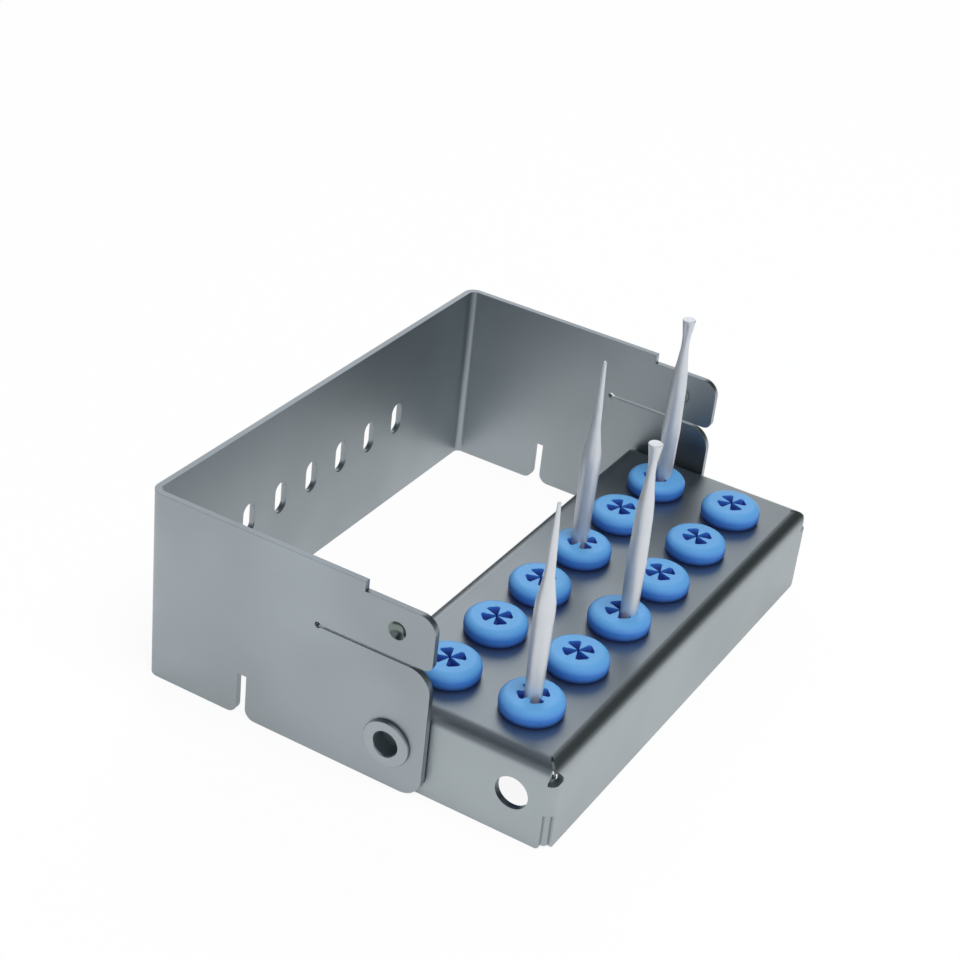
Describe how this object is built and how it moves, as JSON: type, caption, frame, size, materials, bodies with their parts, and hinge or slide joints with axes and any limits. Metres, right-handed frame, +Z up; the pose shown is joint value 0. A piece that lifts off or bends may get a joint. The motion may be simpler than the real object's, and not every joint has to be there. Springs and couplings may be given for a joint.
{
  "type": "dental bur block",
  "caption": "Folding steel bur block: a low folded tray with slit silicone bungs in two rows, some holding burs, and a riveted U-shaped cover that lies open behind it.",
  "frame": {"origin": "on the table, under the middle of the open block's footprint", "axes": "+X along the rows to the block's right end, +Y from the tray to the open cover, +Z up"},
  "size_m": [0.0688, 0.0526, 0.0369],
  "materials": {
    "tray_steel": "satin stainless sheet",
    "cover_steel": "satin stainless sheet",
    "rivet_steel": "turned stainless",
    "blue_silicone": "smooth moulded silicone",
    "bur_steel": "turned satin steel, worn smooth"
  },
  "bodies": {
    "base": {"base_tray": "tray_steel", "rivet_left": "rivet_steel", "rivet_right": "rivet_steel", "bung_front_1": "blue_silicone", "bung_front_2": "blue_silicone", "bung_front_3": "blue_silicone", "bung_front_4": "blue_silicone", "bung_front_5": "blue_silicone", "bung_front_6": "blue_silicone", "bung_rear_1": "blue_silicone", "bung_rear_2": "blue_silicone", "bung_rear_3": "blue_silicone", "bung_rear_4": "blue_silicone", "bung_rear_5": "blue_silicone", "bung_rear_6": "blue_silicone", "bur_front_1": "bur_steel", "bur_front_3": "bur_steel", "bur_rear_4": "bur_steel", "bur_rear_6": "bur_steel"},
    "cover": {"cover": "cover_steel"}
  },
  "joints": [
    {"name": "cover_hinge", "type": "hinge", "parent": "base", "child": "cover", "pos_m": [0, -0.00645, 0.0057], "axis": [1, 0, 0], "range_deg": [0, 90]}
  ]
}
